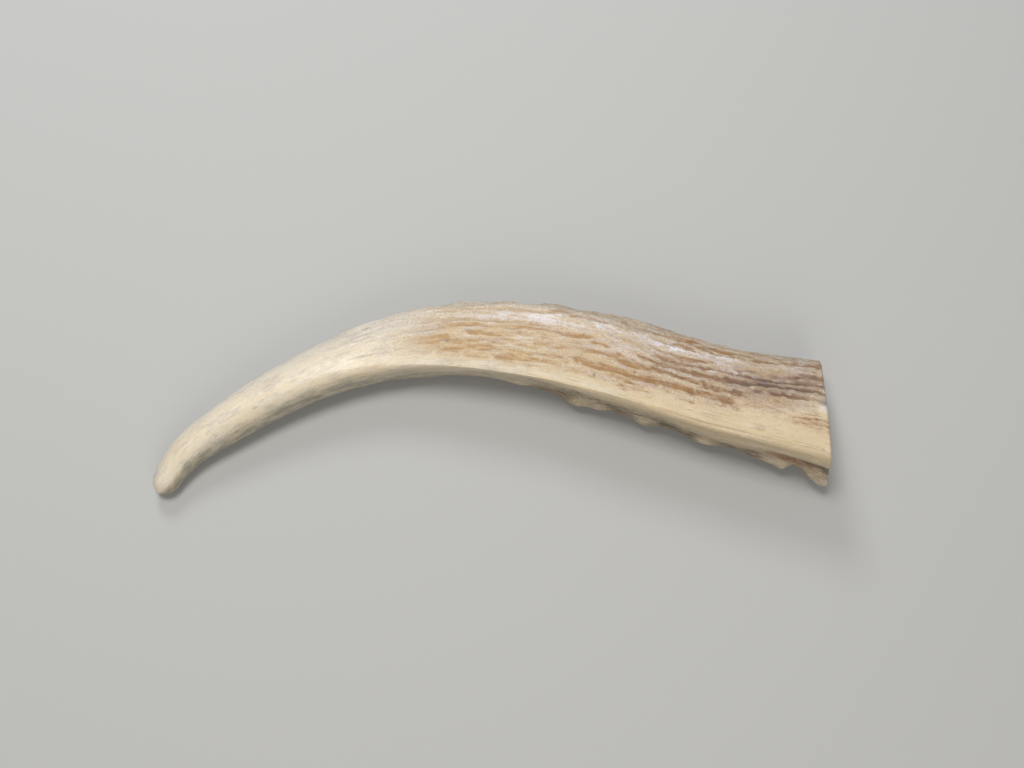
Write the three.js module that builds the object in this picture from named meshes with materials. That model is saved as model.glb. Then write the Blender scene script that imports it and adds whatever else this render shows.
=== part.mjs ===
// A tine sawn from a deer antler: one solid, curved piece of bone, lying on its side.
//
// Millimetres, +Z up. The tine lies along X, with its blunt point at -X and the saw cut at +X, and
// bows towards +Y. It is built as rings of points around a centreline. Each ring starts as a skewed
// oval, and relief is then raised on it: a keel, a lumpy lip, an edge ridge, ribs and pearling.
import * as THREE from "three";

// ---- Driving dimensions ----

// Sections of the tine from its point to the saw cut, about 14 mm apart: the middle of the section
// in plan, its width in plan, its height above the surface that it lies on, and how far its top
// lies from its middle, towards the inner side of the bend.
const STATIONS = [
  { x: -84.4, y: -25.2, width: 5.9, height: 5.8, crest: 0 },
  { x: -77.0, y: -15.0, width: 8.8, height: 8.2, crest: 0 },
  { x: -65.7, y: -6.9, width: 10.8, height: 9.6, crest: 0.3 },
  { x: -53.6, y: 0.2, width: 12.2, height: 10.8, crest: 1.0 },
  { x: -40.9, y: 6.1, width: 13.5, height: 12.0, crest: 2.3 },
  { x: -27.5, y: 10.6, width: 15.4, height: 13.2, crest: 4.3 },
  { x: -13.7, y: 13.0, width: 17.6, height: 14.6, crest: 7.0 },
  { x: 0.3, y: 13.2, width: 19.1, height: 15.8, crest: 8.9 },
  { x: 14.1, y: 11.5, width: 21.0, height: 16.8, crest: 9.5 },
  { x: 27.7, y: 7.9, width: 22.8, height: 17.8, crest: 9.2 },
  { x: 41.3, y: 3.7, width: 22.7, height: 18.6, crest: 9.2 },
  { x: 55.1, y: -0.2, width: 23.8, height: 19.4, crest: 9.8 },
  { x: 69.1, y: -3.6, width: 25.1, height: 20.4, crest: 9.7 },
  { x: 83.2, y: -7.4, width: 27.8, height: 21.4, crest: 8.7 },
];
const TIP_ROUNDING = 3.6; // length over which the point is rounded off

const CUT_X = 83.6; // where the saw cut meets the surface that the tine lies on
const CUT_LEAN = 6.5; // degrees that the top of the cut leans back towards the point
const CUT_TURN = 2.2; // degrees that the outer side of the cut is set back towards the point
const CUT_RUN = 45; // length of tine over which the rings turn to meet the cut

const WEDGE = 0.5; // how far the outer side thins to an edge: 0 is a plain oval, 1 a straight slope
const WEDGE_FROM = -30; // X where it starts to thin
const WEDGE_FULL = 50;
const ARCHES = 2; // it touches down at the point, the middle and the cut, with an arch between
const ARCH_RISE = 0.7;

const ROUGH_FROM = -52; // X where the polished point ends
const ROUGH_FULL = 4; // X from where the relief has its full height

// Lengthwise features. `angle` is degrees around the section, from the outer side (0) over the top
// (90) to the inner side (180) and the underside (270); `spread` is its half width in degrees;
// `from` and `to` are where along X it fades in, and `last` and `gone` where it fades out.
const TO_THE_CUT = { last: 200, gone: 201 };
const KEEL = { angle: 102, spread: 12, height: 0.9, from: -34, to: -4, last: 22, gone: 46 };
const FLANK = { angle: 143, spread: 14, height: -0.5, from: -24, to: 6, last: 24, gone: 50 };
const VALLEY = { angle: 184, spread: 7, height: -0.8, from: 6, to: 26, ...TO_THE_CUT };
const LIP = { angle: 205, spread: 13, height: 0.8, from: 10, to: 30, ...TO_THE_CUT };
const EDGE_RIDGE = { angle: 30, spread: 9, height: 0.6, from: -18, to: 14, ...TO_THE_CUT };
const EDGE_GUTTER = { angle: 48, spread: 8, height: -0.45, from: -10, to: 20, ...TO_THE_CUT };

// Lumps on the lip: where along X, how far each reaches to either side, and how high it stands.
const LIP_LUMPS = [
  { x: 8, reach: 2.4, height: 0.5 },
  { x: 25.5, reach: 3.2, height: 0.9 },
  { x: 30.5, reach: 2.4, height: 0.8 },
  { x: 41, reach: 3.6, height: 0.8 },
  { x: 55.6, reach: 2.8, height: 1.1 },
  { x: 69.5, reach: 2.6, height: 0.6 },
  { x: 72.4, reach: 1.9, height: 0.8 },
  { x: 82.5, reach: 3.0, height: 0.4 },
];

// Single hollows and swellings beside the cut: where along X and around the section each lies, how far
// it reaches along the tine, its half width in degrees, and its height.
const HOLLOWS = [
  { x: 76, angle: 158, reach: 6, spread: 8, height: -1.1 },
  { x: 85, angle: 161, reach: 6, spread: 9, height: -1.7 },
  { x: 76, angle: 198, reach: 1.8, spread: 13, height: -1.4 },
];
const KNOBS = [
  { x: 80, angle: 189, reach: 4.5, spread: 13, height: 1.2 },
  { x: 72.2, angle: 186, reach: 2.4, spread: 10, height: 0.6 },
];

// Irregular relief. `length` is how far along the tine one lump or rib reaches, `around` is how
// many lie around the section, and `seed` picks their pattern.
const RIBS = { height: 0.7, length: 13, around: 25, seed: 1 };
const RIB_WANDER = { height: 0.03, length: 24, around: 5, seed: 9 }; // in turns around the section
const PEARLS = { height: 0.8, length: 5, around: 20, seed: 5 };

// Bands around the section, in the same degrees, with the width of their soft ends. The smooth flank
// spreads up onto the top towards the saw cut, and keeps a small share of the ribs.
const SMOOTH_FLANK = { start: 104, end: 176, soft: 12, ribs: 0.15 };
const FLANK_SPREAD = { start: 72, from: 36, full: 82 };
const OUTER_EDGE = { start: -26, end: 22, soft: 10 }; // pearled
const UNDER_LIP = { start: 192, end: 262, soft: 14 }; // pearled

const RINGS = 82;
const POINTS_AROUND = 60;
const RING_CROWDING = 1.2;

// ---- Small helpers ----

const { smoothstep, degToRad, lerp } = THREE.MathUtils;

// Value of a uniform Catmull-Rom spline through `key` of the stations, at station number `u`.
function along(key, u) {
  const last = STATIONS.length - 1;
  const i = Math.min(Math.floor(u), last - 1);
  const t = u - i;
  const at = (k) => {
    if (k < 0) return 2 * STATIONS[0][key] - STATIONS[1][key];
    if (k > last) return 2 * STATIONS[last][key] - STATIONS[last - 1][key];
    return STATIONS[k][key];
  };
  const [a, b, c, d] = [at(i - 1), at(i), at(i + 1), at(i + 2)];
  return b + 0.5 * t * (c - a + t * (2 * a - 5 * b + 4 * c - d + t * (3 * (b - c) + d - a)));
}

// Repeatable scatter: a value from -1 to 1 for a point of a square lattice.
function scatter(i, j) {
  const v = Math.sin(i * 12.9898 + j * 78.233) * 43758.5453;
  return 2 * (v - Math.floor(v)) - 1;
}

// Smooth noise from -1 to 1. `turn` goes from 0 to 1 around the section and meets itself after
// `cells` lattice steps.
function noise(distance, turn, cells, seed) {
  const v = (turn - Math.floor(turn)) * cells;
  const [i, j] = [Math.floor(distance), Math.floor(v)];
  const [s, t] = [smoothstep(distance - i, 0, 1), smoothstep(v - j, 0, 1)];
  const at = (a, b) => scatter(a + seed, (b % cells) + 3 * seed);
  return lerp(
    lerp(at(i, j), at(i, j + 1), t),
    lerp(at(i + 1, j), at(i + 1, j + 1), t),
    s,
  );
}

// How strongly angle `angle` (degrees) feels a feature: 1 on its line, fading to either side.
function nearness(f, angle) {
  const away = ((angle - f.angle + 540) % 360) - 180;
  return Math.exp(-((away / f.spread) ** 2));
}

// Height of a lengthwise feature at angle `angle` and place `x`.
function feature(f, angle, x) {
  const shown = smoothstep(x, f.from, f.to) * (1 - smoothstep(x, f.last, f.gone));
  return f.height * shown * nearness(f, angle);
}

// Height of the lumps of the lip.
function lipLumps(angle, x) {
  let height = 0;
  for (const lump of LIP_LUMPS) height += lump.height * Math.exp(-(((x - lump.x) / lump.reach) ** 2));
  return height * nearness(LIP, angle);
}

// Height of single lumps or hollows.
function single(forms, angle, x) {
  let height = 0;
  for (const f of forms) height += f.height * Math.exp(-(((x - f.x) / f.reach) ** 2)) * nearness(f, angle);
  return height;
}

// Height of irregular relief `r`.
function irregular(r, turn, distance) {
  return r.height * noise(distance / r.length, turn, r.around, r.seed);
}

// 1 inside a band around the section and 0 outside it, with soft ends.
function inBand(band, angle) {
  const away = Math.abs(((angle - (band.start + band.end) / 2 + 540) % 360) - 180);
  const half = (band.end - band.start) / 2;
  return 1 - smoothstep(away, half - band.soft, half + band.soft);
}

// ---- The surface of the tine ----

// Relief above the plain oval section, in millimetres.
function relief(angle, x, distance) {
  const turn = angle / 360;
  const rough = smoothstep(x, ROUGH_FROM, ROUGH_FULL);
  const spread = smoothstep(x, FLANK_SPREAD.from, FLANK_SPREAD.full);
  const flank = { ...SMOOTH_FLANK, start: lerp(SMOOTH_FLANK.start, FLANK_SPREAD.start, spread) };
  const ribbed = 1 - (1 - SMOOTH_FLANK.ribs) * inBand(flank, angle);
  const ribs = irregular(RIBS, turn + irregular(RIB_WANDER, turn, distance), distance);
  const pearled = inBand(OUTER_EDGE, angle) + inBand(UNDER_LIP, angle);
  const pearls = Math.max(0, irregular(PEARLS, turn, distance));
  return (
    rough * ribbed * ribs +
    rough * pearled * pearls +
    lipLumps(angle, x) +
    single(HOLLOWS, angle, x) +
    single(KNOBS, angle, x) +
    feature(LIP, angle, x) +
    feature(VALLEY, angle, x) +
    feature(KEEL, angle, x) +
    feature(FLANK, angle, x) +
    feature(EDGE_RIDGE, angle, x) +
    feature(EDGE_GUTTER, angle, x)
  );
}

// Centre, width, height and direction of the section at station number `u`.
function section(u) {
  const STEP = 1e-3;
  const last = STATIONS.length - 1;
  const [low, high] = [Math.max(0, u - STEP), Math.min(last, u + STEP)];
  const run = new THREE.Vector2(
    along("x", high) - along("x", low),
    along("y", high) - along("y", low),
  ).normalize();
  return {
    x: along("x", u),
    y: along("y", u),
    width: along("width", u),
    height: along("height", u),
    crest: along("crest", u),
    run,
  };
}

// A point of the surface. `distance` is the way along the centreline from the point of the tine,
// and `length` the way to the cut.
function surfacePoint(at, angle, distance, length) {
  const toTip = Math.min(1, distance / TIP_ROUNDING);
  const rounding = Math.sqrt(1 - (1 - toTip) ** 2);
  const raised = relief(angle, at.x, distance);
  const [cos, sin] = [Math.cos(degToRad(angle)), Math.sin(degToRad(angle))];
  const lean = sin > 0 ? at.crest * (1 - Math.abs(cos)) : 0;
  const thinning = angle < 90 ? WEDGE * smoothstep(at.x, WEDGE_FROM, WEDGE_FULL) : 0;
  const sideways = rounding * ((at.width / 2 + raised) * cos - lean);
  const up = rounding * (at.height / 2 + raised) * Math.sign(sin) * Math.abs(sin) ** (1 + thinning);
  const arch = ARCH_RISE * Math.sin((Math.PI * ARCHES * distance) / length) ** 2;
  return new THREE.Vector3(
    at.x - at.run.y * sideways,
    at.y + at.run.x * sideways,
    at.height / 2 + arch + up,
  );
}

// Slides `p` along the tine so that the last ring lies in the plane of the saw cut.
const cutNormal = new THREE.Vector3(1, 0, 0).applyEuler(
  new THREE.Euler(0, degToRad(-CUT_LEAN), degToRad(CUT_TURN), "ZYX"),
);
function meetCut(p, run, toCut) {
  const share = 1 - smoothstep(toCut, 0, CUT_RUN);
  const travel = new THREE.Vector3(run.x, run.y, 0);
  const gap = (CUT_X * cutNormal.x - cutNormal.dot(p)) / cutNormal.dot(travel);
  return p.addScaledVector(travel, (gap - toCut) * share);
}

// ---- The mesh ----

function buildTine() {
  const last = STATIONS.length - 1;
  // Rings crowd together towards the point, where the section changes fastest.
  const places = Array.from({ length: RINGS }, (_, i) => last * ((i + 1) / RINGS) ** RING_CROWDING);
  const sections = places.map(section);

  let travelled = 0;
  let before = section(0);
  const distances = sections.map((at) => {
    travelled += Math.hypot(at.x - before.x, at.y - before.y);
    before = at;
    return travelled;
  });
  const length = travelled;

  const point = section(0);
  const vertices = [new THREE.Vector3(point.x, point.y, point.height / 2)];
  sections.forEach((at, i) => {
    for (let j = 0; j < POINTS_AROUND; j++) {
      const p = surfacePoint(at, (360 * j) / POINTS_AROUND, distances[i], length);
      vertices.push(meetCut(p, at.run, length - distances[i]));
    }
  });

  const ring = (i, j) => 1 + i * POINTS_AROUND + (j % POINTS_AROUND);
  const faces = [];
  for (let j = 0; j < POINTS_AROUND; j++) {
    faces.push(0, ring(0, j + 1), ring(0, j));
    for (let i = 0; i < RINGS - 1; i++) {
      faces.push(ring(i, j), ring(i, j + 1), ring(i + 1, j));
      faces.push(ring(i, j + 1), ring(i + 1, j + 1), ring(i + 1, j));
    }
  }
  const middle = new THREE.Vector3();
  for (let j = 0; j < POINTS_AROUND; j++) middle.add(vertices[ring(RINGS - 1, j)]);
  vertices.push(middle.divideScalar(POINTS_AROUND));
  for (let j = 0; j < POINTS_AROUND; j++) {
    faces.push(vertices.length - 1, ring(RINGS - 1, j), ring(RINGS - 1, j + 1));
  }

  const geometry = new THREE.BufferGeometry().setFromPoints(vertices);
  geometry.setIndex(faces);
  geometry.computeVertexNormals();
  return geometry;
}

const bone = new THREE.MeshStandardMaterial({ color: 0xc8b48e, roughness: 0.5, metalness: 0 });
const tine = new THREE.Mesh(buildTine(), bone);
tine.name = "antler_tine";

// The origin is the middle of the tine's bounding box, on the surface that it lies on.
const box = new THREE.Box3().setFromObject(tine);
const centre = box.getCenter(new THREE.Vector3());
tine.position.set(-centre.x, -centre.y, -box.min.z);

const antler = new THREE.Group();
antler.add(tine);

export default antler;
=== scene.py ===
"""Deer antler tine: a sawn tine of grown bone, with its colours, painted shade and highlight among them, and
a plain studio, as an add-on script.
"""

import math

import bpy
import numpy as np
from bpy.props import FloatProperty, FloatVectorProperty, IntProperty, PointerProperty
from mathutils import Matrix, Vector


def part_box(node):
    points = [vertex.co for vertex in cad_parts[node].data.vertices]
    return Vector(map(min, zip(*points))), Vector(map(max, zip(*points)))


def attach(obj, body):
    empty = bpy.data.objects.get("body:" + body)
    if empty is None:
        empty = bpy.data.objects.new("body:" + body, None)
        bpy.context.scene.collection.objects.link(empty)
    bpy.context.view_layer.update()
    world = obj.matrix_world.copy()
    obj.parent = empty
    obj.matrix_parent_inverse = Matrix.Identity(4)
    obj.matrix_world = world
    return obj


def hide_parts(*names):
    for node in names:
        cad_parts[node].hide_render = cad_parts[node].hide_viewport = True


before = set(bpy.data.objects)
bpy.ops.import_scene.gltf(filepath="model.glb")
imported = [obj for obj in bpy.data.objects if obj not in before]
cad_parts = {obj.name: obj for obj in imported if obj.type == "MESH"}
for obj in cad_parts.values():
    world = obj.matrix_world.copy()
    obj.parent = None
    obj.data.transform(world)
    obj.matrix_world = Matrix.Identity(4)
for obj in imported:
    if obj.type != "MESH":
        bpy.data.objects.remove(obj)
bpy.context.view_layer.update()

bl_info = {
    "name": "Antler Tine",
    "version": (1, 0, 0),
    "blender": (4, 5, 0),
    "location": "View3D > Sidebar > Antler",
    "description": "Grows a sawn deer antler tine with its bone finish, and lays it in a plain studio",
    "category": "Add Mesh",
}

NODE = "antler_tine"
MM = 0.001

# ---- Main forms of the tine, in millimetres, as in the solid ----

# Sections from the point to the saw cut: x, y, width, height, and how far the top leans inwards.
SECTIONS = np.array(
    [
        (-84.4, -25.2, 5.9, 5.8, 0.0),
        (-77.0, -15.0, 8.8, 8.2, 0.0),
        (-65.7, -6.9, 10.8, 9.6, 0.3),
        (-53.6, 0.2, 12.2, 10.8, 1.0),
        (-40.9, 6.1, 13.5, 12.0, 2.3),
        (-27.5, 10.6, 15.4, 13.2, 4.3),
        (-13.7, 13.0, 17.6, 14.6, 7.0),
        (0.3, 13.2, 19.1, 15.8, 8.9),
        (14.1, 11.5, 21.0, 16.8, 9.5),
        (27.7, 7.9, 22.8, 17.8, 9.2),
        (41.3, 3.7, 22.7, 18.6, 9.2),
        (55.1, -0.2, 23.8, 19.4, 9.8),
        (69.1, -3.6, 25.1, 20.4, 9.7),
        (83.2, -7.4, 27.8, 21.4, 8.7),
    ]
)
TIP_ROUNDING = 3.6  # length over which the point is rounded off
CUT_X = 83.6  # where the saw cut meets the surface that the tine lies on
CUT_LEAN = 6.5  # degrees that the top of the cut leans back towards the point
CUT_TURN = 2.2  # degrees that the outer side of the cut is set back towards the point
CUT_RUN = 45.0  # length of tine over which the rings turn to meet the cut
WEDGE = 0.5  # how far the outer side thins to an edge
WEDGE_SPAN = (-30.0, 50.0)  # span of x over which it thins
ARCHES = 2  # it touches down at the point, the middle and the cut, with an arch between
ARCH_RISE = 0.7
ROUGH_SPAN = (-52.0, 4.0)  # span of x over which the relief rises to its full height

# Lengthwise features: angle around the section in degrees, half width in degrees, height, and the
# places along x where they fade in and out.
END = (200.0, 201.0)
KEEL = (102, 12, 0.9, (-34, -4), (22, 46))
FLANK = (143, 14, -0.5, (-24, 6), (24, 50))
VALLEY = (184, 7, -0.8, (6, 26), END)
LIP = (205, 13, 0.8, (10, 30), END)
EDGE_RIDGE = (30, 9, 0.6, (-18, 14), END)
EDGE_GUTTER = (48, 8, -0.45, (-10, 20), END)

# Lumps of the lip: x, reach to either side, height.
LIP_LUMPS = (
    (8, 2.4, 0.5),
    (25.5, 3.2, 0.9),
    (30.5, 2.4, 0.8),
    (41, 3.6, 0.8),
    (55.6, 2.8, 1.1),
    (69.5, 2.6, 0.6),
    (72.4, 1.9, 0.8),
    (82.5, 3.0, 0.4),
)

# Single hollows and swellings beside the cut: x, angle, reach along the tine, spread around it, height.
HOLLOWS = ((76, 158, 6, 8, -1.1), (85, 161, 6, 9, -1.7), (76, 198, 1.8, 13, -1.4))
KNOBS = ((80, 189, 4.5, 13, 1.2), (72.2, 186, 2.4, 10, 0.6))

# Irregular layers: height, length along the tine, count around the section, seed.
RIBS = (0.7, 13, 25, 1)
RIB_WANDER = (0.03, 24, 5, 9)
PEARLS = (0.8, 5, 20, 5)

# Bands around the section, in degrees, with the width of their soft ends.
SMOOTH_FLANK = (104, 176, 12)
FLANK_SPREAD = (72, 36, 82)  # where it starts at the saw cut, and the span of x over which it spreads
SMOOTH_FLANK_RIBS = 0.15
OUTER_EDGE = (-26, 22, 10)
UNDER_LIP = (192, 262, 14)


def linear(code):
    """Scene-linear colour of a display colour written as 0xRRGGBB."""
    parts = [((code >> shift) & 255) / 255 for shift in (16, 8, 0)]
    return tuple(c / 12.92 if c <= 0.04045 else ((c + 0.055) / 1.055) ** 2.4 for c in parts)


# ---- Settings ----


def millimetres(name, description, size, largest):
    """A setting for the height or depth of some relief."""
    return FloatProperty(
        name=name,
        description=description,
        default=size * MM,
        min=0,
        max=largest * MM,
        precision=5,
        unit="LENGTH",
    )


class AntlerShape(bpy.types.PropertyGroup):
    """Sizes of the relief that the main forms carry."""

    groove_depth: millimetres("Groove depth", "Depth of the lengthwise grooves of the rough face", 0.46, 1.5)
    bead_height: millimetres("Bead height", "Height of the beads along the crests between them", 0.26, 1)
    pearl_height: millimetres("Pearl height", "Height of the pearls of the outer edge and the lip", 0.2, 1)
    grit_height: millimetres("Grit height", "Height of the fine grit on the rough part", 0.09, 0.5)
    pore_depth: millimetres("Pore depth", "Depth of the open pores of the saw cut", 0.8, 2)
    chamfer: millimetres("Cut edge", "How far the rim of the saw cut is worn in", 0.16, 1)
    rings: IntProperty(
        name="Rings", description="Rings of points along the tine", default=380, min=100, max=1200
    )
    around: IntProperty(
        name="Points around", description="Points in each ring", default=220, min=48, max=480
    )


def colour(name, description, code):
    """A colour setting that starts at a display colour."""
    return FloatVectorProperty(
        name=name,
        description=description,
        subtype="COLOR",
        size=3,
        min=0,
        max=1,
        default=linear(code),
    )


class AntlerColours(bpy.types.PropertyGroup):
    """Colours of the bone, of what has stained it, and of the painted shade and highlight."""

    ivory: colour("Ivory", "Polished point", 0xE3D7BF)
    # Painted highlight: the line of the point half, the sheen around it and the line along the keel's crest.
    painted_highlight: colour("Pearl", "Rubbed lines and the sheen around them", 0xF0E8D6)
    honey: colour("Honey", "Warm streaks in the ivory", 0xE0CBA6)
    # Cool grey ivory of the outer side, partly the bone's own tone and partly painted shade.
    cool_ivory_and_shade: colour("Frost", "Cool ivory along the outer side", 0xD3CFC7)
    cream: colour("Cream", "Smooth band beside the rough face", 0xDBC59E)
    tan: colour("Tan", "Thin stain over the rough face", 0xCCB088)
    rose: colour("Rose", "Pinkish patches of the thin stain", 0xC6AC97)
    gold: colour("Gold", "Golden stain where the rough face begins", 0xD8BC90)
    ochre: colour("Ochre", "Yellow stain in the troughs", 0xA87630)
    brown: colour("Brown", "Brown stain in the troughs", 0x865A2C)
    umber: colour("Umber", "Dark mottling near the saw cut", 0x735A4E)
    chalk: colour("Chalk", "Rubbed crests", 0xF0EAEA)
    # Olive: the edge's own tone, and on the lip and underside partly painted shade.
    olive: colour("Olive", "Weathered edge, lip and underside", 0x8E7A58)
    # Painted shade, grey-green, low on the inner flank.
    painted_shade_grey: colour("Moss", "Grey-green shade low on the flank", 0x8C897A)
    # Painted shade and dirt, low on the inner wall and between the lumps of the lip.
    silt_and_shade: colour("Silt", "Dirt on the inner wall and between the lumps of the lip", 0x655C48)
    rust: colour("Rust", "Stained hollow above the last lump of the lip", 0xA8764C)
    ash: colour("Ash", "Bluish grey patches near the saw cut, and the chip", 0xA39FA3)
    # Also the painted shade along the crease over the lip.
    soot_and_shade: colour("Soot", "Hairlines, flecks and pores", 0x3A2D22)
    marrow: colour("Marrow", "Spongy core of the saw cut", 0xB08D62)


def power(name, description, watts):
    """A setting for the power of a light."""
    return FloatProperty(
        name=name,
        description=description,
        default=watts,
        min=0,
        max=100,
        subtype="POWER",
    )


class AntlerStudio(bpy.types.PropertyGroup):
    """Camera, lights and floor."""

    lens: FloatProperty(
        name="Lens", description="Focal length of the camera in millimetres", default=50, min=20, max=200
    )
    elevation: FloatProperty(
        name="Camera elevation",
        description="Angle of the camera above the floor",
        default=math.radians(80.5),
        min=0,
        max=math.pi / 2,
        subtype="ANGLE",
    )
    distance: FloatProperty(
        name="Camera distance",
        description="From the camera to the floor point that it looks at",
        default=0.367,
        min=0.05,
        max=5,
        unit="LENGTH",
    )
    key_power: power("Key light", "Large soft light overhead", 2.65)
    window_power: power("Window light", "Cool light that shines low over the outer side", 1.5)
    front_power: power("Front light", "Wide light on the inner side", 0.95)
    ambient: FloatProperty(
        name="Room light", description="Strength of the even light from all round", default=0.26, min=0, max=5
    )
    floor: colour("Floor", "Plain pale floor", 0xBDBDBB)


# ---- Small numeric helpers ----


def smoothstep(value, low, high):
    """0 below `low` and 1 above `high`, with a soft rise between."""
    t = np.clip((value - low) / (high - low), 0, 1)
    return t * t * (3 - 2 * t)


SCATTER = (12.9898, 78.233, 43758.5453)  # numbers without a common step


def scatter(i, j):
    """Repeatable scatter from -1 to 1 over a square lattice."""
    v = np.sin(i * SCATTER[0] + j * SCATTER[1]) * SCATTER[2]
    return 2 * (v - np.floor(v)) - 1


def noise(distance, turn, cells, seed):
    """Smooth noise from -1 to 1 that meets itself after one turn around the section."""
    v = (turn - np.floor(turn)) * cells
    i, j = np.floor(distance), np.floor(v)
    s, t = smoothstep(distance - i, 0, 1), smoothstep(v - j, 0, 1)

    def at(a, b):
        return scatter(a + seed, b % cells + 3 * seed)

    near = at(i, j) + (at(i, j + 1) - at(i, j)) * t
    far = at(i + 1, j) + (at(i + 1, j + 1) - at(i + 1, j)) * t
    return near + (far - near) * s


def grain_noise(points, size, seed):
    """Smooth noise from -1 to 1 in space, with lumps about `size` across."""
    p = points / size
    cell = np.floor(p)
    t = smoothstep(p - cell, 0, 1)
    total = 0
    for dx in (0, 1):
        for dy in (0, 1):
            for dz in (0, 1):
                weight = 1
                for axis, d in enumerate((dx, dy, dz)):
                    weight = weight * (t[..., axis] if d else 1 - t[..., axis])
                corner = cell[..., 0] + dx + 57 * (cell[..., 1] + dy)
                total = total + weight * scatter(corner + seed, 31 * (cell[..., 2] + dz) + 5 * seed)
    return total


def lumps(points, stretch, size, seed):
    """Noise in space whose lumps are stretched, by a factor for each axis."""
    return grain_noise(points * stretch, size, seed)


def uneven(layer, points):
    """One layer of lumps in space: height, size, seed."""
    height, size, seed = layer
    return height * grain_noise(points, size, seed)


def bell(away):
    """1 at 0, fading to either side."""
    return np.exp(-(away**2))


def nearness(angle, centre, spread):
    """1 on a line around the section, fading to either side."""
    away = (angle - centre + 540) % 360 - 180
    return bell(away / spread)


def shown(x, rise, fall):
    """1 along a stretch of the tine, which fades in over one span of x and out over another."""
    return smoothstep(x, *rise) * (1 - smoothstep(x, *fall))


def step(amount, span, x):
    """An amount that comes over a span of x."""
    return amount * smoothstep(x, *span)


def feature(form, angle, x):
    """Height of a lengthwise feature."""
    centre, spread, height, rise, fall = form
    return height * shown(x, rise, fall) * nearness(angle, centre, spread)


def in_band(band, angle):
    """1 inside a band around the section and 0 outside it, with soft ends."""
    start, end, soft = band
    away = np.abs((angle - (start + end) / 2 + 540) % 360 - 180)
    half = (end - start) / 2
    return 1 - smoothstep(away, half - soft, half + soft)


def blot(x, angle, at_x, at_angle, length, spread):
    """1 at one place on the surface, fading over a length and an angle."""
    return bell((x - at_x) / length) * nearness(angle, at_angle, spread)


# ---- The surface of the tine ----


def along(u):
    """Sections at station numbers `u`, by a uniform Catmull-Rom spline."""
    last = len(SECTIONS) - 1
    i = np.minimum(np.floor(u).astype(int), last - 1)
    t = (u - i)[:, None]
    ends = np.vstack(
        [2 * SECTIONS[0] - SECTIONS[1], SECTIONS, 2 * SECTIONS[-1] - SECTIONS[-2]]
    )
    a, b, c, d = ends[i], ends[i + 1], ends[i + 2], ends[i + 3]
    return b + 0.5 * t * (c - a + t * (2 * a - 5 * b + 4 * c - d + t * (3 * (b - c) + d - a)))


def cut_normal():
    """Direction that the saw cut faces."""
    lean, turn = math.radians(CUT_LEAN), math.radians(CUT_TURN)
    return np.array(
        [math.cos(turn) * math.cos(lean), math.sin(turn) * math.cos(lean), math.sin(lean)]
    )


CROWDING = 0.3  # how much closer than even the rings are at the saw cut
FACE_BAND = (6, 118, 16)  # the rough upper face, where the points around lie closer together
FACE_CROWDING = 1.5


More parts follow.
